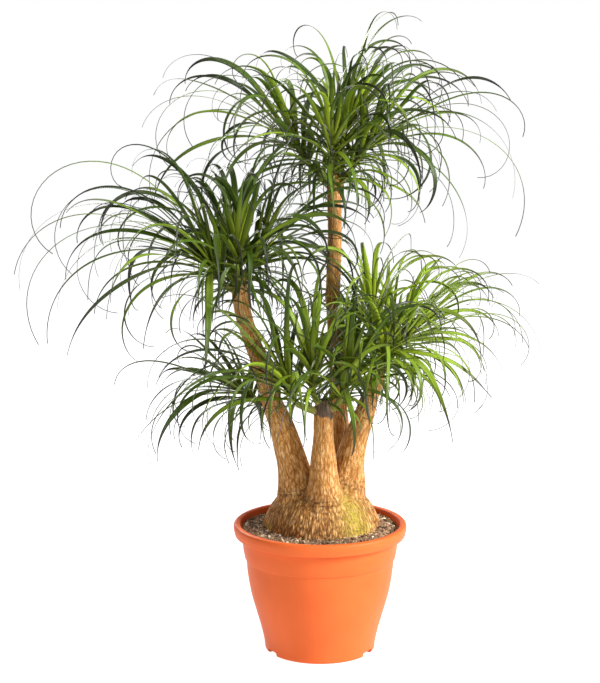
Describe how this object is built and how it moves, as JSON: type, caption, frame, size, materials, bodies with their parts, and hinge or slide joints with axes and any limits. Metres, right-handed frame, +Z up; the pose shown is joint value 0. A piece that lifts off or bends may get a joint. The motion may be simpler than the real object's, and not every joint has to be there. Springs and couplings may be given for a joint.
{
  "type": "potted ponytail palm",
  "caption": "Houseplant with a swollen corky foot, branching stems and arching strap leaves, growing in a round plastic pot of soil.",
  "frame": {"origin": "middle of the pot's flat underside, on the pot's axis", "axes": "+Z up along the pot's axis, +Y to the back of the plant, +X to the right"},
  "size_m": [0.9513, 0.6291, 1.1583],
  "materials": {
    "pot_plastic": "satin moulded terracotta-orange plastic",
    "soil": "dry bark compost, granular and matt",
    "bark": "golden-brown corky bark, fissured at the foot",
    "leaf": "glossy green strap leaf"
  },
  "bodies": {
    "root": {"pot": "pot_plastic", "potting_soil": "soil", "trunk": "bark", "left_outer_leaves_1": "leaf", "left_outer_leaves_2": "leaf", "left_outer_leaves_3": "leaf", "left_back_leaves_1": "leaf", "left_back_leaves_2": "leaf", "left_back_leaves_3": "leaf", "left_right_leaves_1": "leaf", "left_right_leaves_2": "leaf", "left_right_leaves_3": "leaf", "left_front_leaves_1": "leaf", "left_front_leaves_2": "leaf", "left_front_leaves_3": "leaf", "right_upper_leaves_1": "leaf", "right_upper_leaves_2": "leaf", "right_upper_leaves_3": "leaf", "right_outer_leaves_1": "leaf", "right_outer_leaves_2": "leaf", "right_outer_leaves_3": "leaf", "right_front_leaves_1": "leaf", "right_front_leaves_2": "leaf", "right_front_leaves_3": "leaf", "right_back_leaves_1": "leaf", "right_back_leaves_2": "leaf", "right_back_leaves_3": "leaf", "front_left_leaves_1": "leaf", "front_left_leaves_2": "leaf", "front_left_leaves_3": "leaf", "front_mid_leaves_1": "leaf", "front_mid_leaves_2": "leaf", "front_mid_leaves_3": "leaf", "front_right_leaves_1": "leaf", "front_right_leaves_2": "leaf", "front_right_leaves_3": "leaf", "front_back_leaves_1": "leaf", "front_back_leaves_2": "leaf", "front_back_leaves_3": "leaf", "low_back_leaves_1": "leaf", "low_back_leaves_2": "leaf", "low_back_leaves_3": "leaf", "top_left_leaves_1": "leaf", "top_left_leaves_2": "leaf", "top_left_leaves_3": "leaf", "top_right_leaves_1": "leaf", "top_right_leaves_2": "leaf", "top_right_leaves_3": "leaf", "top_front_leaves_1": "leaf", "top_front_leaves_2": "leaf", "top_front_leaves_3": "leaf", "top_back_leaves_1": "leaf", "top_back_leaves_2": "leaf", "top_back_leaves_3": "leaf", "top_crest_leaves_1": "leaf", "top_crest_leaves_2": "leaf", "top_crest_leaves_3": "leaf"}
  },
  "joints": []
}
